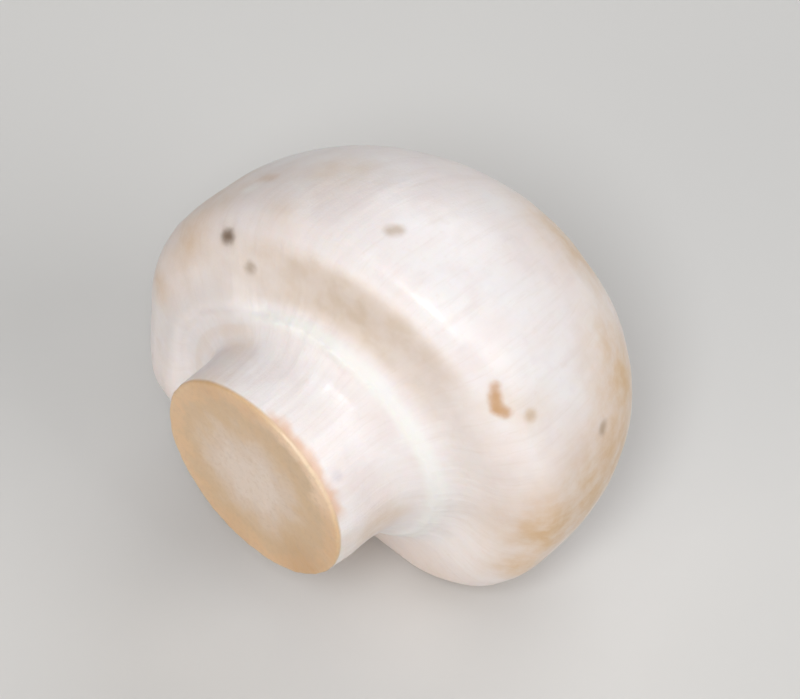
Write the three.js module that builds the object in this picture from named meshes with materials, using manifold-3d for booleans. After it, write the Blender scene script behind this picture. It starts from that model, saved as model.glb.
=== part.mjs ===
// Button mushroom: one fruit body with a closed veil and a trimmed stem, lying on the side of its cap.
// Millimetres, +Z up. The stem points to -Y and the apex of the cap to +Y. The mushroom rests on a small
// flat spot in the plane Z = 0, and the origin is under the middle of its box.

import * as THREE from "three";
import { mergeVertices } from "three/addons/utils/BufferGeometryUtils.js";
import Module from "manifold-3d";

// Driving dimensions. Heights along the axis count from the widest ring of the cap, down towards the cut.
const CAP_RADIUS = 18.1;
const DOME_HEIGHT = 16.5;
const DOME_FULLNESS = 2.06; // 2 would make the dome half an ellipse, and more makes it boxier
const STEM_RADIUS = 8.95;
const CUT_RADIUS = 8.75;
const CUT_DEPTH = 13.55; // at the middle of the cut
const REST_HEIGHT = 17.4; // axis to the surface it lies on

// Outline of the underside: depth below the widest ring, and radius.
const UNDERSIDE = [
  [0.0, CAP_RADIUS], // widest ring
  [1.4, 17.85],
  [2.6, 16.75], // shoulder, where the margin rolls in
  [3.25, 15.4],
  [3.6, 14.2],
  [4.0, 13.2], // furrow between the margin and the veil
  [4.5, 12.4],
  [5.1, 11.75],
  [5.7, 11.3], // closed veil
  [6.15, 10.95], // ridge where the veil meets the stem
  [6.6, 10.35],
  [7.2, 9.75],
  [8.0, 9.25],
  [9.3, STEM_RADIUS],
  [11.5, 8.87],
  [CUT_DEPTH, CUT_RADIUS],
];

// The cap is lopsided. It leans along LEAN_SIDE, and its margin droops towards the cut on DROOP_SIDE.
// Sides are angles round the axis, from +X towards +Z.
const LEAN_SIDE = THREE.MathUtils.degToRad(-28.4);
const LEAN = 0.11; // rise of the cap for each millimetre out to that side
const LEAN_ENDS = [6.0, 10.5]; // depths between which the lean fades out
const DROOP_SIDE = THREE.MathUtils.degToRad(182);
const DROOP = 4.7;
const DROOP_FOCUS = 2.3; // how closely the droop keeps to its side
const DROOP_STARTS = [-5.5, 6.0];
const DROOP_ENDS = [3.4, 6.4];
const VEIL_DROOP = 0.4; // share of the droop that the veil follows
const STEM_SHIFT = 0.5; // the cut end stands off the cap's axis, towards LEAN_SIDE
const STEM_SHIFT_DEPTHS = [5.5, 12.0];

// Places where the body stands out from its outline. Each is [millimetres outward, millimetres towards the
// cut, depth of its middle, half width along the depth, side of its middle, and how many degrees round
// from there it is whole and gone].
const BULGES = [
  [0.0, 0.62, 4.9, 1.3, 182, 50, 72], // the veil drawn over the furrow, where the margin droops
  [0.0, 0.5, 3.4, 0.7, 0, 20, 60], // the margin rolled further in, opposite the droop
  [0.6, 1.5, 2.2, 2.4, -52, 4, 40], // lobe of the margin
  [0.1, 1.6, 3.4, 2.2, 216, 12, 36], // lobe of the margin
];

// The cut is not square to the stem. It comes nearer the cap on CUT_TILT_SIDE.
const CUT_TILT_SIDE = THREE.MathUtils.degToRad(10);
const CUT_TILT = 0.05; // millimetres for each one out to that side
const CUT_TILT_DEPTHS = [8.5, CUT_DEPTH];

// Slow waves round the body: [lobes, amplitude in millimetres, side of the first crest in radians].
const CAP_WAVES = [
  [2, 0.08, 0.6],
  [3, 0.06, 2.1],
];
const VEIL_WAVES = [
  [3, 0.1, 1.0],
  [5, 0.07, 0.2],
];
const STEM_WAVES = [
  [2, 0.1, 0.9],
  [3, 0.06, 2.4],
];
const VEIL_DEPTH = 5.9; // middle of the band where the veil waves
const VEIL_BAND = 1.6;

// Fineness of the faceted body.
const SECTORS = 80;
const DOME_ROWS = 18;
const UNDERSIDE_ROWS = 34;
const CUT_ROWS = 3;

// 0 below `from`, 1 above `to`, and a smooth rise between them.
function rise(value, [from, to]) {
  return THREE.MathUtils.smoothstep(value, from, to);
}

// Sum of the waves at an angle round the axis.
function waves(list, angle) {
  return list.reduce((sum, [lobes, height, crest]) => sum + height * Math.cos(lobes * (angle - crest)), 0);
}

// Half outline from the centre of the cut, over the margin, to the apex, as [radius, height up the axis].
function outline() {
  const cut = [];
  for (let row = 0; row < CUT_ROWS; row += 1) {
    cut.push(new THREE.Vector2((CUT_RADIUS * row) / CUT_ROWS, -CUT_DEPTH));
  }
  const knots = UNDERSIDE.map(([depth, radius]) => new THREE.Vector2(radius, -depth));
  const underside = new THREE.SplineCurve(knots.reverse()).getPoints(UNDERSIDE_ROWS);
  const dome = [];
  const power = 2 / DOME_FULLNESS;
  for (let row = 1; row < DOME_ROWS; row += 1) {
    const turn = (row / DOME_ROWS) * (Math.PI / 2);
    const radius = CAP_RADIUS * Math.cos(turn) ** power;
    const height = DOME_HEIGHT * Math.sin(turn) ** power;
    dome.push(new THREE.Vector2(radius, height));
  }
  return [...cut, ...underside, ...dome, new THREE.Vector2(0, DOME_HEIGHT)];
}

// How far the body stands out at a depth and an angle, as [outward, towards the cut].
function bulging(depth, angle) {
  const sums = [0, 0];
  for (const [outward, onward, middle, width, side, whole, gone] of BULGES) {
    const turned = Math.acos(Math.cos(angle - THREE.MathUtils.degToRad(side)));
    const round = 1 - rise(THREE.MathUtils.radToDeg(turned), [whole, gone]);
    const near = round * Math.exp(-(((depth - middle) / width) ** 2));
    sums[0] += outward * near;
    sums[1] += onward * near;
  }
  return sums;
}

// Moves a point of the turned body to its place on the lopsided one.
function grown(point) {
  const depth = -point.y;
  const angle = Math.atan2(point.z, point.x);
  const radius = Math.hypot(point.x, point.z);
  const share = radius / CAP_RADIUS;

  const cap = 1 - rise(depth, LEAN_ENDS);
  const lean = LEAN * radius * Math.cos(angle - LEAN_SIDE) * cap;
  const side = ((1 + Math.cos(angle - DROOP_SIDE)) / 2) ** DROOP_FOCUS;
  const hang = rise(depth, DROOP_STARTS) * (1 - (1 - VEIL_DROOP) * rise(depth, DROOP_ENDS));
  const droop = DROOP * side * hang * cap;
  const tilt = CUT_TILT * radius * Math.cos(angle - CUT_TILT_SIDE) * rise(depth, CUT_TILT_DEPTHS);

  const veil = Math.exp(-(((depth - VEIL_DEPTH) / VEIL_BAND) ** 2));
  const swell = share * (cap * waves(CAP_WAVES, angle) + (1 - cap) * waves(STEM_WAVES, angle));
  const [outward, onward] = bulging(depth, angle);
  const full = radius + swell + veil * waves(VEIL_WAVES, angle) + outward;
  const shift = STEM_SHIFT * rise(depth, STEM_SHIFT_DEPTHS);
  return new THREE.Vector3(
    full * Math.cos(angle) + shift * Math.cos(LEAN_SIDE),
    point.y + lean - droop - onward + tilt,
    full * Math.sin(angle) + shift * Math.sin(LEAN_SIDE),
  );
}

// A geometry as a manifold-3d solid.
function solid(wasm, geometry) {
  const bare = geometry.clone();
  bare.deleteAttribute("normal");
  bare.deleteAttribute("uv");
  const merged = mergeVertices(bare);
  return new wasm.Manifold(
    new wasm.Mesh({
      numProp: 3,
      vertProperties: new Float32Array(merged.attributes.position.array),
      triVerts: new Uint32Array(merged.index.array),
    }),
  );
}

// A manifold-3d solid as a geometry with flat facets.
function geometryOf(body) {
  const mesh = body.getMesh();
  const geometry = new THREE.BufferGeometry();
  geometry.setAttribute("position", new THREE.BufferAttribute(mesh.vertProperties, mesh.numProp));
  geometry.setIndex(new THREE.BufferAttribute(mesh.triVerts, 1));
  const faceted = geometry.toNonIndexed();
  faceted.computeVertexNormals();
  return faceted;
}

// The whole body round the Y axis, before it is laid down.
function fruitBody() {
  const turned = new THREE.LatheGeometry(outline(), SECTORS);
  turned.deleteAttribute("normal");
  turned.deleteAttribute("uv");
  const body = mergeVertices(turned);
  const places = body.getAttribute("position");
  const point = new THREE.Vector3();
  for (let index = 0; index < places.count; index += 1) {
    const moved = grown(point.fromBufferAttribute(places, index));
    places.setXYZ(index, moved.x, moved.y, moved.z);
  }
  return body;
}

// Everything below the surface that the mushroom lies on.
function ground() {
  const side = 4 * CAP_RADIUS;
  const block = new THREE.BoxGeometry(side, side, side);
  block.translate(0, 0, -REST_HEIGHT - side / 2);
  return block;
}

const wasm = await Module();
wasm.setup();

const laid = geometryOf(solid(wasm, fruitBody()).subtract(solid(wasm, ground())));
laid.computeBoundingBox();
const middle = laid.boundingBox.getCenter(new THREE.Vector3());
laid.translate(-middle.x, -middle.y, REST_HEIGHT);

const flesh = new THREE.MeshStandardMaterial({ color: 0xefe6dd, roughness: 0.55, metalness: 0 });
const mushroom = new THREE.Mesh(laid, flesh);
mushroom.name = "mushroom";

const part = new THREE.Group();
part.add(mushroom);

export default part;
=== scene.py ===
"""Button mushroom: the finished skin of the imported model, its material, and the studio that shows it."""

import math

import bpy
import numpy as np
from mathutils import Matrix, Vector, noise


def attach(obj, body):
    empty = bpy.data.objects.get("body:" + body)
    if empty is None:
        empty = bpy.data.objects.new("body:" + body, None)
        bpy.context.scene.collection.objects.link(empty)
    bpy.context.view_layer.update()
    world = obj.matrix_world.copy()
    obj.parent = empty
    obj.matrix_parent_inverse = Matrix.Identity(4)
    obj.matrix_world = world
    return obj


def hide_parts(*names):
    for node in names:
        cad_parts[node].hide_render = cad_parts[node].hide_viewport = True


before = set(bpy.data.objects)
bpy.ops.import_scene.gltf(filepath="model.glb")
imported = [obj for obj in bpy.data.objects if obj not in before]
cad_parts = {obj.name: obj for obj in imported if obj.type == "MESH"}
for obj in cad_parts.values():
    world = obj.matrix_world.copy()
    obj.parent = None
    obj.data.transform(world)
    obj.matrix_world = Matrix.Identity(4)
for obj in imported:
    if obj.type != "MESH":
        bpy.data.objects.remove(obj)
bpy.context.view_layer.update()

MM = 0.001
TINY = 1e-6

# The body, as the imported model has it: millimetres, axis along Y, apex towards +Y. Depths count from the
# widest ring of the cap down towards the cut. Sides are angles round the axis, from +X towards +Z.
CAP_RADIUS = 18.1
DOME_HEIGHT = 16.5
DOME_FULLNESS = 2.06  # 2 would make the dome half an ellipse, and more makes it boxier
STEM_RADIUS = 8.95
CUT_RADIUS = 8.75
CUT_DEPTH = 13.55  # at the middle of the cut
REST_HEIGHT = 17.4  # axis to the surface it lies on
UNDERSIDE = [  # depth and radius
    (0.0, CAP_RADIUS), (1.4, 17.85), (2.6, 16.75), (3.25, 15.4), (3.6, 14.2), (4.0, 13.2), (4.5, 12.4),
    (5.1, 11.75), (5.7, 11.3), (6.15, 10.95), (6.6, 10.35), (7.2, 9.75), (8.0, 9.25), (9.3, STEM_RADIUS),
    (11.5, 8.87), (CUT_DEPTH, CUT_RADIUS),
]
LEAN_SIDE = math.radians(-28.4)
LEAN = 0.11  # rise of the cap for each millimetre out to that side
LEAN_ENDS = (6.0, 10.5)  # depths between which the lean fades out
DROOP_SIDE = math.radians(182)
DROOP = 4.7  # of the margin, towards the cut
DROOP_FOCUS = 2.3  # how closely the droop keeps to its side
DROOP_STARTS = (-5.5, 6.0)
DROOP_ENDS = (3.4, 6.4)
VEIL_DROOP = 0.4  # share of the droop that the veil follows
STEM_SHIFT = 0.5  # the cut end stands off the cap's axis, towards LEAN_SIDE
STEM_SHIFT_DEPTHS = (5.5, 12.0)
# Bulges, as outward, towards the cut, depth, half width, side, and how far round one is whole and gone.
VEIL_OVER_FURROW = (0.0, 0.62, 4.9, 1.3, 182, 50, 72)
BULGES = [
    VEIL_OVER_FURROW,
    (0.0, 0.5, 3.4, 0.7, 0, 20, 60),  # the margin rolled further in, opposite the droop
    (0.6, 1.5, 2.2, 2.4, -52, 4, 40),  # lobe of the margin
    (0.1, 1.6, 3.4, 2.2, 216, 12, 36),  # lobe of the margin
]
CUT_TILT_SIDE = math.radians(10)
CUT_TILT = 0.05  # millimetres for each one out to that side
CUT_TILT_DEPTHS = (8.5, CUT_DEPTH)
CAP_WAVES = [(2, 0.08, 0.6), (3, 0.06, 2.1)]  # lobes, height, side of the first crest in radians
VEIL_WAVES = [(3, 0.1, 1.0), (5, 0.07, 0.2)]
STEM_WAVES = [(2, 0.1, 0.9), (3, 0.06, 2.4)]
VEIL_DEPTH = 5.9
VEIL_BAND = 1.6

# Fineness of the finished surface.
SECTORS = 480
RIM_FILLET = 0.15  # rounding of the cut's edge
ROW_STEPS = [  # depth, and how far apart the rows are there
    (-20.0, 0.5), (-1.0, 0.42), (1.0, 0.26), (7.5, 0.26), (8.5, 0.36), (12.9, 0.36), (13.35, 0.08),
]
CUT_STEP = 0.36
DOME_POINTS = 1500  # of the outline, from which the rows are picked
UNDERSIDE_POINTS = 3000
FILLET_POINTS = 60
CUT_POINTS = 600
FLOOR_SOFTNESS = 0.12  # how softly the skin flattens where it meets the floor

# Where each kind of skin starts and is whole, and where it ends, as depths.
CUT_EDGE = CUT_DEPTH - RIM_FILLET
CUT_FADE = 0.25  # over which the skin gives way to the cut
CUT_STARTS = (CUT_EDGE - CUT_FADE, CUT_EDGE)
DOME_ENDS = (0.5, 2.6)
MARGIN_DEPTH, MARGIN_WIDTH = 2.9, 0.9
VEIL_STARTS, VEIL_ENDS = (3.6, 4.6), (6.2, 6.8)
STEM_STARTS = (6.4, 7.4)
APEX_BARE = (1.0, 6.0)  # radii between which the fibrils of the dome begin

# Relief, in millimetres. A layer of lumps is the size of one, its seed, its octaves and its height.
SEED_STEP = (17.3, -9.1, 5.7)  # each seed is that much further off in the noise
OCTAVES_FADE = 1.0
OCTAVES_FINER = 2.0
SKIN_LUMPS = [(7.0, 4, 2, 0.12), (3.0, 10, 2, 0.035), (1.8, 3, 3, 0.02)]
VEIL_LUMPS = [(0.9, 5, 2, 0.03)]
CUT_LUMPS = [(1.1, 8, 3, 0.05), (0.45, 9, 1, 0.02)]
FINE_FIBRILS = (0.55, 1, 7)  # thickness, seed, and how many rows they are drawn out over, each way
COARSE_FIBRILS = (1.3, 2, 12)
FIBRIL_SHARES = (0.6, 0.4)  # of the fine and the coarse ones, in their tint
FIBRIL_HEIGHTS = {  # of the fine and the coarse ones
    "dome": (0.004, 0.006),
    "margin": (0.004, 0.006),
    "veil": (0.008, 0.010),
    "stem": (0.006, 0.010),
}
VEIL_SMOOTHED = 0.6  # share of the veil's relief that is gone where it is drawn over the furrow
RAGGED_EDGE = (6.25, 0.24, 0.08)  # of the veil: depth, half width, height
EDGE_WANDER = (2.2, 6, 2, 0.2)  # up and down
EDGE_LEVEL = 0.7
EDGE_LUMPS = (1.6, 7, 1, 1.0)  # about its level
CUT_HOLLOW = 0.12  # the cut dries a little hollow
CUT_HOLLOW_ENDS = (0.3, 3.0)  # millimetres in from its rim
MARK_DENT = 0.06
MARK_EDGE = (1.7, 0.1)  # where a mark's colour starts and is whole, in its radii

# Colours, as sRGB from 0 to 255.
WHITE = (250, 244, 244)
# The tan below is partly the skin's own and partly painted shade and warm light from neighbouring mushrooms.
TAN_AND_SHADE = (222, 186, 142)
FIBRIL_TINT = (230, 214, 204)
FURROW_SHADE = (218, 199, 180)
# The furrow's colour below is painted shade.
VEIL_WHITE = (253, 250, 246)
# The ledge's grey below is painted shade under the drooping margin.
LEDGE_SHADE = (228, 222, 222)
# The tan under the veil below is painted shade in the crease where the veil's edge meets the stem.
CREASE_SHADE = (222, 196, 170)
BLED = (232, 190, 158)
CUT_HEART = (232, 214, 199)
CUT_BAND = (217, 186, 149)
CUT_RING = (208, 178, 148)
CUT_RIM = (230, 192, 150)
CUT_RIM_PALE = (248, 220, 192)
# The cut's tan below is partly browning and partly a painted contact shadow at its lower edge.
CUT_TAN_AND_SHADE = (196, 152, 100)
FLECK = (170, 126, 80)
PEAT = (104, 74, 40)
SCAR = (204, 154, 104)
# The pale below is painted highlight.
PAINTED_HIGHLIGHT = (252, 246, 240)

# Marks in the skin, and two painted highlights: the places that one runs through, as depth and side in
# degrees, and then its radius, strength and colour.
MARKS = [
    ([(2.70, 126.0)], 1.0, 0.35, (190, 166, 142)),  # stain round a speck of peat
    ([(2.15, 126.5)], 0.5, 0.45, PAINTED_HIGHLIGHT),  # painted highlight beside it
    ([(2.76, 126.6), (2.74, 125.6)], 0.52, 0.82, PEAT),
    ([(3.58, 118.9), (3.52, 118.4)], 0.46, 0.58, (160, 136, 108)),  # smaller speck near the furrow
    ([(-0.33, 129.8), (-0.33, 128.6)], 0.6, 0.7, PAINTED_HIGHLIGHT),  # painted highlight on the shoulder
    ([(-1.5, 130.0), (-1.5, 126.8)], 0.55, 0.42, (214, 178, 148)),  # tan streak above that highlight
    ([(-1.30, 87.8), (-1.65, 86.9)], 0.52, 0.58, (182, 156, 124)),  # speck on the dome
    ([(1.62, 42.6), (1.95, 40.3)], 0.42, 0.7, SCAR),
    ([(1.95, 40.3), (2.2, 37.4), (1.95, 35.6)], 0.48, 0.85, SCAR),
    ([(1.95, 38.6)], 1.3, 0.3, (226, 200, 168)),  # stain round the scar
    ([(0.58, 31.8)], 0.50, 0.6, (200, 170, 132)),  # spot beside the scar
    ([(-4.98, 13.9), (-4.8, 13.3)], 0.50, 0.62, (160, 126, 84)),  # speck on the side of the dome
    ([(11.82, 38.7)], 0.46, 0.3, (190, 186, 198)),  # faint bruise on the stem
]

# Places painted tan, partly the skin's own browning and partly painted shade and warm light thrown
# by neighbouring mushrooms at the limb, in creases and at the cut's lower edge: depth, side in degrees,
# radius, strength.
TAN_AND_SHADE_PLACES = [
    # the side of the dome
    (-3.0, -4.0, 5.6, 0.95),
    (1.0, -10.0, 4.0, 0.95),
    (-9.5, 16.0, 4.8, 0.85),
    (-13.6, 58.0, 4.2, 0.95),
    (-8.5, 30.0, 2.6, 0.3),
    (-6.5, 3.0, 3.6, 0.5),
    (2.0, -27.0, 2.4, 0.8),
    # the shoulder and the margin
    (1.0, 112.0, 2.0, 0.25),
    (0.4, 32.0, 1.8, 0.3),
    (-3.8, 113.0, 3.0, 0.35),
    (-1.0, 150.0, 4.0, 0.5),
    (-1.6, 126.0, 2.2, 0.14),
    (0.4, 134.0, 2.0, 0.25),
    (3.0, 154.0, 2.2, 0.2),
    (2.4, 142.0, 2.2, 0.65),
    (3.2, 165.0, 1.6, 0.6),
    # the hidden side
    (-14.0, 240.0, 6.0, 0.35),
    (-6.0, 215.0, 5.0, 0.4),
    (0.5, 300.0, 5.0, 0.4),
    # the stem
    (7.4, 138.0, 1.0, 0.15),
    (7.6, 160.0, 0.9, 0.2),
    (9.0, -10.0, 2.4, 0.6),
    (8.6, 126.0, 1.5, 0.3),
    # the edge of the cut
    (13.3, -48.0, 3.0, 0.7),
    (13.6, 126.0, 1.9, 0.34),
    (13.4, -6.0, 1.8, 0.22),
    (13.4, 256.0, 2.4, 0.28),
]

# Sides where something is found, as the middle, and how many degrees round from there it is whole and gone.
FRESH_SIDES = (50, 10, 42)  # the cut's rim is paler and has bled up the stem
FLECKED_SIDES = (250, 40, 72)  # small flecks lie on the hidden side
FURROW_SHADE_ALL_ROUND = 0.12  # how strongly shade is painted in the furrow all round
FURROW_SHADE_SIDES = [(0.72, 85, 40), (0.5, 255, 30)]  # and how much more shade is painted near two sides: strength, side, width

# Layers of faint colour: noise cells for each millimetre, detail, roughness, the noise where the layer
# starts and is whole, its strength and its colour.
MOTTLES = [
    (0.11, 2.0, 0.5, 0.40, 0.62, 1.0, (247, 237, 235)),
    (0.33, 3.0, 0.5, 0.50, 0.70, 0.35, (236, 226, 225)),
    (1.6, 4.0, 0.6, 0.55, 0.78, 0.18, (234, 216, 204)),
]
GRAIN_STRETCH = 0.12  # streaks run along the fibrils, and are this much finer across than along
STREAKS = [
    (2.4, 4.0, 0.62, 0.50, 0.72, 0.16, (226, 210, 200)),
    (0.9, 3.0, 0.6, 0.52, 0.72, 0.14, (228, 216, 212)),
]
PITH = (2.6, 4.0, 0.65, 0.45, 0.75, 0.25, (190, 160, 130))
FIBRIL_TONES = (0.4, -2.2, 0.0, 0.12)  # heights where a fibril's tint starts and is whole, and its strengths

# Unevenness: noise cells for each millimetre, detail, and the lowest and highest value.
NOISE_SPAN = (0.3, 0.7)  # a noise is nearly all between these
FURROW_SHADE_UNEVEN = (0.5, 3.0, 0.8, 1.2)
BLEED_UNEVEN = (0.7, 1.0, -0.2, 0.2)
CUT_UNEVEN = (0.45, 3.0, -0.8, 0.8)  # how far the cut's colours wander in and out
GLOSS_UNEVEN = (0.8, 3.0, 0.33, 0.46)
TAN_AND_SHADE_NOISE = (0.45, 4.0, 0.6)
TAN_AND_SHADE_PATCHES = (0.25, 0.75, 0.6, 1.2)  # the noise where the tan and painted shade are weakest and strongest, and those strengths

# Bands of colour down the body, as the depths where one starts, is whole, begins to fade and is gone.
# The furrow's band is painted shade.
FURROW_DEPTHS = (2.3, 3.2, 4.2, 5.4)
VEIL_DEPTHS = (5.1, 5.8, 6.2, 6.7)
# The ledge's band is painted shade under the drooping margin.
LEDGE_DEPTHS = (3.4, 4.4, 8.0, 9.0)
# The under band is painted shade in the crease below the veil.
UNDER_DEPTHS = (6.5, 6.8, 7.0, 7.8)
BLEED_DEPTHS = (12.2, 13.3)
VEIL_STRENGTHS = (0.1, 0.8)  # where it is drawn over the furrow, and elsewhere
LEDGE_SHADE_STRENGTH = 0.35
CREASE_SHADE_STRENGTH = 0.2
BLEED_STRENGTH = 0.8
BLEED_SPREADS = 0.5  # of the fresh side's fade, so that the bleed reaches further round than the pale rim

# The cut face, as radii where each colour starts and is whole.
HEART = (-0.65, -0.65)  # middle of the cut's paler part, in its own plane
BAND_RADII = (2.6, 6.2)
RING_RADII = (2.2, 3.2, 3.8, 4.6)
RIM_RADII = (6.8, 8.2)
PALE_RIM_RADII = (6.6, 8.0)
RING_STRENGTH = 0.2
RIM_STRENGTH = 0.75
PALE_RIM_STRENGTH = 0.8
CUT_TAN_AND_SHADE_STRENGTH = 0.9

# Flecks on the hidden side, one in each cell at most. Radii and edges are in cells.
FLECK_CELLS = 0.42  # for each millimetre
FLECK_CHANCES = (0.45, 1.0)  # the chance below which a cell has none, and at which it has the largest
FLECK_RADIUS = 0.24
FLECK_EDGE = (-0.04, 0.08)
FLECK_STRENGTHS = (0.15, 0.6)
WOBBLE_NOISE = {"Scale": 1.8, "Detail": 2.0}
WOBBLE = 0.3  # how uneven the outlines of flecks and marks are, in millimetres

# Fine texture and gloss.
STRAND_NOISE = (2.4, 4.0, 0.62)
STRANDS = 1.1
PORE_NOISE = (1.6, 4.0, 0.6)
PORES = 0.5
GRAIN_NOISE = (5.0, 3.0)
GRAIN = 0.3
BUMP = {"Strength": 0.5, "Distance": 0.06 * MM}

# The studio. Sides and heights are where something is seen from the mushroom, in degrees; side 0 is -Y.
FLOOR_SIDE = 1.2
PAPER = (0.70, 0.69, 0.675, 1)  # linear, with alpha
PAPER_ROUGHNESS = 0.8
VIEW_SIDE, VIEW_HEIGHT = 46.9, 53.5
LENS = 600.0  # long, as the photograph shows almost no perspective
SENSOR = 36.0
VIEW_WIDTH = 0.0594  # of the picture, at the object
CLIPPING = (0.01, 10.0)
TARGET = Vector((-0.0006, 0.00088, 0.0177))  # what the camera and the lamps look at
LAMPS = [  # name, side, height, distance, diameter, power, colour
    ("front", 36, 54, 0.6, 0.17, 1.22, (0.97, 0.99, 1.0)),
    ("right", 105, 40, 0.6, 0.4, 1.17, (1, 1, 1)),
    ("top", 60, 82, 0.6, 0.4, 0.5, (1, 1, 1)),
    ("back", 200, 40, 0.7, 0.5, 1.22, (1, 1, 1)),
    ("low", 0, 9, 0.6, 0.4, 1.15, (1.0, 0.93, 0.86)),
]
SKY = {"Color": (1, 1, 1, 1), "Strength": 0.15}


# ---------------------------------------------------------------- the shape
def rise(value, ends):
    """0 below the first end, 1 above the second, and a smooth rise between them."""
    share = np.clip((value - ends[0]) / (ends[1] - ends[0]), 0, 1)
    return share * share * (3 - 2 * share)


def hump(value, middle, width):
    """1 at the middle, falling smoothly to nothing over about two widths."""
    return np.exp(-(((value - middle) / width) ** 2))


def near_side(angle, side, whole, gone):
    """1 within some degrees of a side, and 0 beyond some more."""
    turned = np.arccos(np.clip(np.cos(angle - math.radians(side)), -1, 1))
    return 1 - rise(np.degrees(turned), (whole, gone))


def waves(crests, angle):
    """Sum of the waves at an angle round the axis."""
    return sum(height * np.cos(lobes * (angle - crest)) for lobes, height, crest in crests)


def spline(knots, count):
    """Points of a uniform Catmull-Rom curve through the knots, with its end points doubled."""
    knots = np.array(knots, float)
    last = len(knots) - 1
    places = np.linspace(0, last, count)
    whole = np.minimum(places.astype(int), last - 1)
    t = (places - whole)[:, None]
    a, b = knots[np.maximum(whole - 1, 0)], knots[whole]
    c, d = knots[whole + 1], knots[np.minimum(whole + 2, last)]
    v0, v1 = (c - a) / 2, (d - b) / 2
    return (2 * b - 2 * c + v0 + v1) * t**3 + (3 * c - 3 * b - 2 * v0 - v1) * t**2 + v0 * t + b


def profile():
    """Rows from the apex to the centre of the cut: their depths, their radii and the arc length to each."""
    turn = np.linspace(0, math.pi / 2, DOME_POINTS, endpoint=False)
    power = 2 / DOME_FULLNESS
    dome = np.c_[-DOME_HEIGHT * np.cos(turn) ** power, CAP_RADIUS * np.sin(turn) ** power]
    under = spline(UNDERSIDE, UNDERSIDE_POINTS)
    under = under[under[:, 0] < CUT_EDGE]
    bend = np.linspace(0, math.pi / 2, FILLET_POINTS)
    fillet = np.c_[CUT_EDGE + RIM_FILLET * np.sin(bend), CUT_RADIUS - RIM_FILLET * (1 - np.cos(bend))]
    across = np.linspace(CUT_RADIUS - RIM_FILLET, 0, CUT_POINTS)[1:]
    cut = np.c_[np.full(len(across), CUT_DEPTH), across]
    line = np.vstack([dome, under, fillet, cut])
    reach = np.r_[0, np.cumsum(np.hypot(*np.diff(line, axis=0).T))]
    order = np.arange(len(line))
    spacing = np.interp(line[:, 0], *np.array(ROW_STEPS).T)
    spacing[-len(cut):] = CUT_STEP
    count = np.r_[0, np.cumsum(np.diff(reach) / spacing[1:])]
    rows = np.interp(np.linspace(0, count[-1], round(count[-1]) + 1), count, order)
    return [np.interp(rows, order, values) for values in (line[:, 0], line[:, 1], reach)]


def bulging(depth, angle):
    """How far the body stands out from its outline, outward and towards the cut."""
    sums = [0.0, 0.0]
    for outward, onward, middle, width, side, whole, gone in BULGES:
        near = hump(depth, middle, width) * near_side(angle, side, whole, gone)
        sums = [sums[0] + outward * near, sums[1] + onward * near]
    return sums


def grown(depth, radius, angle):
    """Points of the lopsided body, axis along Y, before it is laid down."""
    share = radius / CAP_RADIUS
    cap = 1 - rise(depth, LEAN_ENDS)
    lean = LEAN * radius * np.cos(angle - LEAN_SIDE) * cap
    side = ((1 + np.cos(angle - DROOP_SIDE)) / 2) ** DROOP_FOCUS
    hang = rise(depth, DROOP_STARTS) * (1 - (1 - VEIL_DROOP) * rise(depth, DROOP_ENDS))
    droop = DROOP * side * hang * cap
    tilt = CUT_TILT * radius * np.cos(angle - CUT_TILT_SIDE) * rise(depth, CUT_TILT_DEPTHS)
    veil = hump(depth, VEIL_DEPTH, VEIL_BAND)
    swell = share * (cap * waves(CAP_WAVES, angle) + (1 - cap) * waves(STEM_WAVES, angle))
    outward, onward = bulging(depth, angle)
    full = radius + swell + veil * waves(VEIL_WAVES, angle) + outward
    shift = STEM_SHIFT * rise(depth, STEM_SHIFT_DEPTHS)
    return np.stack([
        full * np.cos(angle) + shift * math.cos(LEAN_SIDE),
        lean - depth - droop - onward + tilt,
        full * np.sin(angle) + shift * math.sin(LEAN_SIDE),
    ], axis=-1)


# ---------------------------------------------------------------- the relief
def field(points, cell, seed, octaves=1):
    """Smooth random values about 0 at the points, with features of about one cell."""
    shift = Vector([step * seed for step in SEED_STEP])
    spots = points.reshape(-1, 3) / cell
    values = [noise.fractal(Vector(spot) + shift, OCTAVES_FADE, OCTAVES_FINER, octaves) for spot in spots]
    return np.array(values).reshape(points.shape[:-1])


def lumps(points, *layers):
    """Sum of layers of smooth random values, each given as cell, seed, octaves and height."""
    return sum(field(points, cell, seed, octaves) * height for cell, seed, octaves, height in layers)


def fibrils(points, thickness, seed, rows):
    """Random values smeared along the rows' direction and evened out to a spread of 1."""
    padded = np.pad(field(points, thickness, seed), ((rows, rows), (0, 0)), mode="edge")
    total = np.cumsum(padded, axis=0)
    made = total[2 * rows:] - total[:-2 * rows]
    return made / made.std()


def normals_of(grid):
    """Outward unit normals of a grid of points, rows by sectors."""
    along = np.gradient(grid, axis=0)
    around = (np.roll(grid, -1, axis=1) - np.roll(grid, 1, axis=1)) / 2
    made = np.cross(around, along)
    length = np.linalg.norm(made, axis=-1, keepdims=True)
    made = made / np.maximum(length, TINY)
    made[0] = (0, 1, 0)
    made[-1] = (0, -1, 0)
    return made


def within(points, start, end, radius):
    """1 at the start, the middle and the end of a line, falling to nothing over about two radii."""
    close = np.zeros(points.shape[:-1])
    for share in (0, 0.5, 1):
        apart = np.linalg.norm(points - start - (end - start) * share, axis=-1)
        close = np.maximum(close, np.exp(-(apart / radius) ** 2))
    return close


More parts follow.
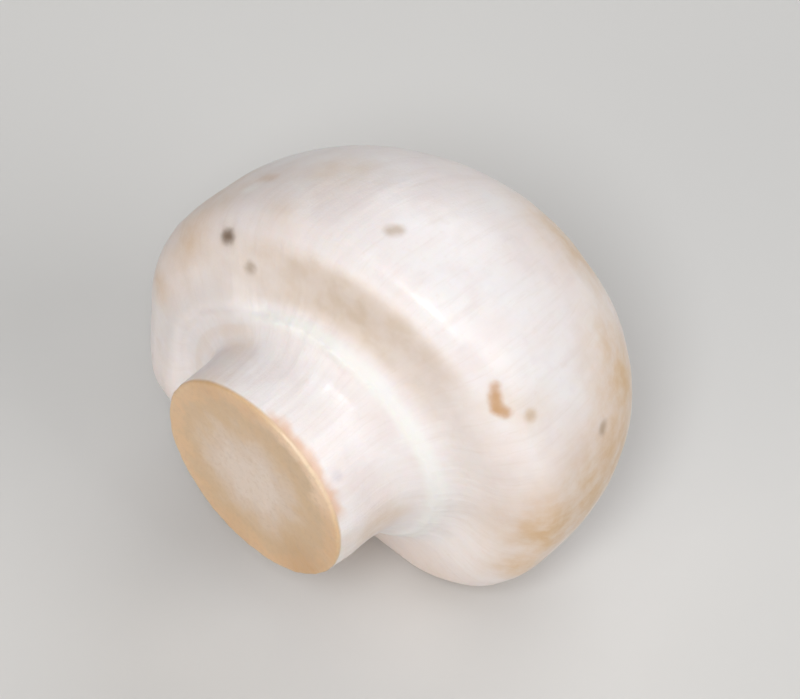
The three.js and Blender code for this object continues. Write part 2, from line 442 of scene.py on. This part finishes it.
# ---------------------------------------------------------------- the mesh
def mesh_of(name, grid):
    """A closed mesh of a grid whose first and last rows are single points."""
    rows, sectors = grid.shape[:2]
    points = np.vstack([grid[:1, 0], grid[1:-1].reshape(-1, 3), grid[-1:, 0]])
    start = 1 + np.arange(rows - 2)[:, None] * sectors
    ring = np.arange(sectors)
    after = (ring + 1) % sectors
    upper, lower = start[:-1], start[1:]
    quads = np.stack([upper + ring, lower + ring, lower + after, upper + after], axis=-1).reshape(-1, 4)
    top = [(0, 1 + i, 1 + (i + 1) % sectors) for i in range(sectors)]
    end = len(points) - 1
    bottom = [(end, end - sectors + (i + 1) % sectors, end - sectors + i) for i in range(sectors)]
    mesh = bpy.data.meshes.new(name)
    mesh.from_pydata((points * MM).tolist(), [], quads.tolist() + top + bottom)
    mesh.shade_smooth()
    return mesh


def attribute(mesh, name, values):
    """Stores a value for each point of a grid on its mesh."""
    flat = np.r_[values[0, 0], values[1:-1].ravel(), values[-1, 0]]
    mesh.attributes.new(name, "FLOAT", "POINT").data.foreach_set("value", flat.astype(np.float32))


def vector_attribute(mesh, name, values):
    """Stores a vector for each point of a grid on its mesh."""
    flat = np.vstack([values[:1, 0], values[1:-1].reshape(-1, 3), values[-1:, 0]])
    stored = mesh.attributes.new(name, "FLOAT_VECTOR", "POINT")
    stored.data.foreach_set("vector", flat.astype(np.float32).ravel())


# ---------------------------------------------------------------- the body
row_depth, row_radius, row_reach = profile()
row_angle = np.linspace(0, 2 * math.pi, SECTORS, endpoint=False)
depths, angles = np.meshgrid(row_depth, row_angle, indexing="ij")
radii, reaches = (np.repeat(values[:, None], SECTORS, axis=1) for values in (row_radius, row_reach))
smooth = grown(depths, radii, angles)


def on_skin(at_depth, side):
    """The point of the body's skin at a depth and a side in degrees."""
    uncut = row_depth < CUT_EDGE
    at_radius = np.interp(at_depth, row_depth[uncut], row_radius[uncut])
    return grown(np.array(at_depth), at_radius, math.radians(side))


# Where each kind of skin is, from 0 to 1.
cut = np.where(depths > CUT_DEPTH - TINY, 1.0, rise(depths, CUT_STARTS))
over = near_side(angles, *VEIL_OVER_FURROW[-3:])
dome = 1 - rise(depths, DOME_ENDS)
margin = hump(depths, MARGIN_DEPTH, MARGIN_WIDTH)
veil = rise(depths, VEIL_STARTS) * (1 - rise(depths, VEIL_ENDS))
stem = rise(depths, STEM_STARTS) * (1 - cut)
away = rise(radii, APEX_BARE)
rough_veil = veil * (1 - VEIL_SMOOTHED * over)

fine, coarse = fibrils(smooth, *FINE_FIBRILS), fibrils(smooth, *COARSE_FIBRILS)
relief = (1 - cut) * lumps(smooth, *SKIN_LUMPS)
fibrous = {"dome": dome * away, "margin": margin, "veil": rough_veil, "stem": stem}
for region, where in fibrous.items():
    fine_height, coarse_height = FIBRIL_HEIGHTS[region]
    relief += where * (fine * fine_height + coarse * coarse_height)
relief += rough_veil * lumps(smooth, *VEIL_LUMPS)
edge_depth, edge_width, edge_height = RAGGED_EDGE
edge = hump(depths, edge_depth + lumps(smooth, EDGE_WANDER), edge_width)
relief += edge * edge_height * (EDGE_LEVEL + lumps(smooth, EDGE_LUMPS)) * (1 - over)
relief += cut * lumps(smooth, *CUT_LUMPS)
relief -= cut * CUT_HOLLOW * rise(CUT_RADIUS - radii, CUT_HOLLOW_ENDS)

spots = []  # the marks as straight pieces: start, end, radius, strength, colour
for places, size, strength, tint in MARKS:
    line = [on_skin(*place) for place in places]
    spots += [(start, end, size, strength, tint) for start, end in zip(line, line[1:] or line)]
marked = np.zeros_like(depths)
for start, end, size, strength, tint in spots:
    marked = np.maximum(marked, strength * within(smooth, start, end, size))
relief -= MARK_DENT * marked

# Tan places: partly the skin's own browning, partly painted shade and warm light thrown by neighbouring
# mushrooms.
tan_and_shade = np.zeros_like(depths)
for place_depth, side, size, strength in TAN_AND_SHADE_PLACES:
    place = on_skin(place_depth, side)
    tan_and_shade = 1 - (1 - tan_and_shade) * (1 - strength * within(smooth, place, place, size))
# Painted shade in the furrow, stronger near two sides.
furrow_shade = FURROW_SHADE_ALL_ROUND + sum(
    strength * hump(np.degrees(angles), side, width) for strength, side, width in FURROW_SHADE_SIDES
)

# The body is laid on the floor, flattened where it rests, and its box's middle brought over the origin.
laid = smooth + normals_of(smooth) * relief[..., None]
height = laid[..., 2] + REST_HEIGHT
laid[..., 2] = (height + np.sqrt(height * height + FLOOR_SOFTNESS**2)) / 2
middle = (smooth.min(axis=(0, 1)) + smooth.max(axis=(0, 1))) / 2
moved = np.array([-middle[0], -middle[1], 0.0])
mesh = mesh_of("mushroom_flesh", laid + moved)

across, upward = np.cos(angles), np.sin(angles)
fine_share, coarse_share = FIBRIL_SHARES
stored = {
    "depth": depths,
    "radius": radii,
    "heart": np.hypot(radii * across - HEART[0], radii * upward - HEART[1]),
    "cut": cut,
    "fibril": (fine * fine_share + coarse * coarse_share) * (1 - cut) * away,
    "tan_and_shade": tan_and_shade,
    "over": over,
    "furrow_shade": furrow_shade,
    "fresh": near_side(angles, *FRESH_SIDES),
    "flecked": near_side(angles, *FLECKED_SIDES) * (1 - cut),
}
for name, values in stored.items():
    attribute(mesh, name, values)
unrolled = np.stack([CAP_RADIUS * across, CAP_RADIUS * upward, reaches * GRAIN_STRETCH], axis=-1)
vector_attribute(mesh, "grain", unrolled)
body = bpy.data.objects.new("mushroom_body", mesh)
bpy.context.scene.collection.objects.link(body)


# ---------------------------------------------------------------- the material
def srgb(colour):
    """Linear colour, with alpha, of an sRGB one given from 0 to 255."""
    shares = [value / 255 for value in colour]
    return (*(c / 12.92 if c <= 0.04045 else ((c + 0.055) / 1.055) ** 2.4 for c in shares), 1.0)


class Nodes:
    """Adds nodes to a material or world, with inputs given as values or as other nodes' sockets."""

    def __init__(self, owner):
        owner.use_nodes = True
        self.tree = owner.node_tree
        self.tree.nodes.clear()

    def add(self, kind, inputs=None, **settings):
        node = self.tree.nodes.new("ShaderNode" + kind)
        for name, value in settings.items():
            setattr(node, name, value)
        for name, value in (inputs or {}).items():
            self.put(value, node.inputs[name])
        return node

    def put(self, value, socket):
        if isinstance(value, bpy.types.NodeSocket):
            self.tree.links.new(value, socket)
        else:
            socket.default_value = value

    def math(self, operation, a, b=0.0, clamp=False):
        return self.add("Math", {0: a, 1: b}, operation=operation, use_clamp=clamp).outputs[0]

    def times(self, first, *others):
        """Product of all the values."""
        for other in others:
            first = self.math("MULTIPLY", first, other)
        return first

    def vector(self, operation, a, b=(0, 0, 0), output="Vector", **more):
        return self.add("VectorMath", {0: a, 1: b, **more}, operation=operation).outputs[output]

    def range(self, value, low, high, to_low=0.0, to_high=1.0):
        """A smooth rise from to_low, where the value is low, to to_high, where it is high."""
        inputs = {"Value": value, "From Min": low, "From Max": high, "To Min": to_low, "To Max": to_high}
        return self.add("MapRange", inputs, interpolation_type="SMOOTHSTEP").outputs[0]

    def band(self, value, starts, whole, fades, gone):
        """1 between whole and fades, and 0 before it starts and after it is gone."""
        return self.times(self.range(value, starts, whole), self.range(value, gone, fades))

    def noise(self, vector, scale, detail=2.0, rough=0.5):
        inputs = {"Vector": vector, "Scale": scale, "Detail": detail, "Roughness": rough}
        return self.add("TexNoise", inputs).outputs["Fac"]

    def uneven(self, vector, scale, detail, low, high):
        """Noise spread between a low and a high value."""
        return self.range(self.noise(vector, scale, detail), *NOISE_SPAN, low, high)

    def mix(self, share, a, b):
        """Colour from a to b. A colour is a socket, or sRGB from 0 to 255."""
        node = self.add("Mix", {"Factor": share}, data_type="RGBA")
        for index, value in ((6, a), (7, b)):  # the two colour inputs
            self.put(srgb(value) if isinstance(value, tuple) else value, node.inputs[index])
        return node.outputs[2]

    def layer(self, colour, vector, scale, detail, rough, starts, whole, strength, tint):
        """The colour with another one over it where a noise is high."""
        share = self.range(self.noise(vector, scale, detail, rough), starts, whole, 0.0, strength)
        return self.mix(share, colour, tint)

    def value_of(self, name, output="Fac"):
        """A value, or a vector, that is stored on the mesh."""
        return self.add("Attribute", attribute_name=name).outputs[output]


def skin_colour(n, place):
    """White skin, mottled and streaked, with tan places that are partly painted shade, painted shade in the
    furrow, under the drooping margin and in the crease below the veil, and the clean veil.
    """
    depth, over, tan_and_shade = (n.value_of(name) for name in ("depth", "over", "tan_and_shade"))
    grain = n.value_of("grain", "Vector")
    colour = WHITE
    for mottle in MOTTLES:
        colour = n.layer(colour, place, *mottle)
    colour = n.mix(n.range(n.value_of("fibril"), *FIBRIL_TONES), colour, FIBRIL_TINT)
    for streak in STREAKS:
        colour = n.layer(colour, grain, *streak)
    patchy = n.range(n.noise(place, *TAN_AND_SHADE_NOISE), *TAN_AND_SHADE_PATCHES)
    # Tan, partly painted shade and warm light thrown by neighbouring mushrooms.
    colour = n.mix(n.times(tan_and_shade, patchy), colour, TAN_AND_SHADE)

    # Painted shade in the furrow.
    furrow_shading = n.times(n.band(depth, *FURROW_DEPTHS), n.uneven(place, *FURROW_SHADE_UNEVEN), n.value_of("furrow_shade"))
    colour = n.mix(furrow_shading, colour, FURROW_SHADE)
    bare = n.range(n.math("SUBTRACT", 1.0, over), 0.0, 1.0, *VEIL_STRENGTHS)
    colour = n.mix(n.times(n.band(depth, *VEIL_DEPTHS), bare), colour, VEIL_WHITE)
    # Painted shade under the drooping margin.
    colour = n.mix(n.times(n.band(depth, *LEDGE_DEPTHS), over, LEDGE_SHADE_STRENGTH), colour, LEDGE_SHADE)
    # Painted shade in the crease where the veil's edge meets the stem.
    colour = n.mix(n.times(n.band(depth, *UNDER_DEPTHS), over, CREASE_SHADE_STRENGTH), colour, CREASE_SHADE)

    reached = n.math("ADD", depth, n.uneven(place, *BLEED_UNEVEN))
    bled = n.range(reached, *BLEED_DEPTHS, 0.0, BLEED_STRENGTH)
    return n.mix(n.times(n.range(n.value_of("fresh"), 0.0, BLEED_SPREADS), bled), colour, BLED)


def cut_colour(n, place):
    """The cut face: a browned rim, paler on one side, a paler middle and a faint ring between them."""
    wander = n.uneven(place, *CUT_UNEVEN)
    outward = n.math("ADD", n.value_of("radius"), wander)
    from_heart = n.math("ADD", n.value_of("heart"), wander)
    colour = n.mix(n.range(from_heart, *BAND_RADII), CUT_HEART, CUT_BAND)
    colour = n.mix(n.times(n.band(from_heart, *RING_RADII), RING_STRENGTH), colour, CUT_RING)
    colour = n.mix(n.range(outward, *RIM_RADII, 0.0, RIM_STRENGTH), colour, CUT_RIM)
    pale = n.times(n.value_of("fresh"), n.range(outward, *PALE_RIM_RADII, 0.0, PALE_RIM_STRENGTH))
    colour = n.layer(n.mix(pale, colour, CUT_RIM_PALE), place, *PITH)
    # Tan at the cut's edge, partly a painted contact shadow at its lower edge.
    return n.mix(n.times(n.value_of("tan_and_shade"), CUT_TAN_AND_SHADE_STRENGTH), colour, CUT_TAN_AND_SHADE)


def with_flecks(n, colour, place):
    """Small flecks, scattered over the hidden side, of chance sizes and strengths."""
    cells = n.add("TexVoronoi", {"Vector": place, "Scale": FLECK_CELLS, "Randomness": 1.0})
    chance = n.add("SeparateColor", {"Color": cells.outputs["Color"]})
    radius = n.range(chance.outputs[0], *FLECK_CHANCES, 0.0, FLECK_RADIUS)
    inside = n.range(n.math("SUBTRACT", radius, cells.outputs["Distance"]), *FLECK_EDGE)
    strength = n.range(chance.outputs[1], 0.0, 1.0, *FLECK_STRENGTHS)
    return n.mix(n.times(inside, n.value_of("flecked"), strength), colour, FLECK)


def with_marks(n, colour, place):
    """The marks that the photograph shows, each round a straight piece of line."""
    origin = moved + np.array([0, 0, REST_HEIGHT])
    for start, end, radius, strength, tint in spots:
        from_start = n.vector("SUBTRACT", place, tuple(start + origin))
        along = end - start
        squared = max(along @ along, TINY)
        share = n.vector("DOT_PRODUCT", from_start, tuple(along / squared), output="Value")
        nearest = n.vector("SCALE", tuple(along), Scale=n.math("ADD", share, 0.0, clamp=True))
        apart = n.vector("DISTANCE", from_start, nearest, output="Value")
        starts, whole = (radius * edge for edge in MARK_EDGE)
        colour = n.mix(n.range(apart, starts, whole, 0.0, strength), colour, tint)
    return colour


def flesh_material():
    """The skin and the flesh: matt, a little silky and slightly translucent."""
    material = bpy.data.materials.new("mushroom_skin")
    n = Nodes(material)
    place = n.vector("SCALE", n.add("TexCoord").outputs["Object"], Scale=1 / MM)
    cut = n.value_of("cut")
    wobble = n.add("TexNoise", {"Vector": place, **WOBBLE_NOISE}).outputs["Color"]
    wobble = n.vector("SCALE", n.vector("SUBTRACT", wobble, (0.5, 0.5, 0.5)), Scale=WOBBLE)
    pushed = n.vector("ADD", place, wobble)  # uneven outlines for the flecks and marks

    colour = n.mix(cut, skin_colour(n, place), cut_colour(n, place))
    colour = with_marks(n, with_flecks(n, colour, pushed), pushed)

    strands = n.noise(n.value_of("grain", "Vector"), *STRAND_NOISE)
    strands = n.times(strands, n.math("SUBTRACT", 1.0, cut), STRANDS)
    pores = n.times(n.noise(place, *PORE_NOISE), PORES)
    grain = n.times(n.noise(place, *GRAIN_NOISE), GRAIN)
    height = n.math("ADD", n.math("ADD", pores, grain), strands)
    bump = n.add("Bump", {"Height": height, **BUMP})
    shader = n.add("BsdfPrincipled", {
        "Base Color": colour,
        "Roughness": n.uneven(place, *GLOSS_UNEVEN),
        "Normal": bump.outputs[0],
        "Specular IOR Level": 0.6,
        "Coat Weight": 0.30,
        "Coat Roughness": 0.33,
        "Subsurface Weight": 0.35,
        "Subsurface Radius": (1.0, 0.72, 0.5),
        "Subsurface Scale": 1.6 * MM,
    })
    n.put(shader.outputs[0], n.add("OutputMaterial").inputs["Surface"])
    return material


mesh.materials.append(flesh_material())
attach(body, "root")
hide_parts("mushroom")


# ---------------------------------------------------------------- the floor, the camera and the lights
def floor_of(side):
    """A square sheet of pale paper, as the floor."""
    half = side / 2
    corners = [(-half, -half, 0), (half, -half, 0), (half, half, 0), (-half, half, 0)]
    sheet = bpy.data.meshes.new("floor")
    sheet.from_pydata(corners, [], [(0, 1, 2, 3)])
    paper = bpy.data.materials.new("floor_paper")
    n = Nodes(paper)
    shader = n.add("BsdfPrincipled", {"Base Color": PAPER, "Roughness": PAPER_ROUGHNESS})
    n.put(shader.outputs[0], n.add("OutputMaterial").inputs["Surface"])
    sheet.materials.append(paper)
    floor = bpy.data.objects.new("floor", sheet)
    bpy.context.scene.collection.objects.link(floor)
    return floor


def place_round(name, data, side, height, distance):
    """A camera or lamp that looks at the target from a side and height, in degrees."""
    side, height = math.radians(side), math.radians(height)
    flat = math.cos(height)
    towards = Vector((math.sin(side) * flat, -math.cos(side) * flat, math.sin(height)))
    thing = bpy.data.objects.new(name, data)
    bpy.context.scene.collection.objects.link(thing)
    thing.location = TARGET + towards * distance
    thing.rotation_mode = "QUATERNION"
    thing.rotation_quaternion = (-towards).to_track_quat("-Z", "Y")
    return thing


floor = floor_of(FLOOR_SIDE)

lens = bpy.data.cameras.new("camera")
lens.lens, lens.sensor_width = LENS, SENSOR
lens.clip_start, lens.clip_end = CLIPPING
camera = place_round("camera", lens, VIEW_SIDE, VIEW_HEIGHT, VIEW_WIDTH * LENS / SENSOR)
bpy.context.scene.camera = camera

for name, side, height, distance, size, power, colour in LAMPS:
    light = bpy.data.lights.new(name, "AREA")
    light.shape = "DISK"
    light.size, light.energy, light.color = size, power, colour
    place_round(name, light, side, height, distance)

world = bpy.data.worlds.new("studio")
bpy.context.scene.world = world
n = Nodes(world)
n.put(n.add("Background", SKY).outputs[0], n.add("OutputWorld").inputs[0])
bpy.context.scene.view_settings.view_transform = "Standard"
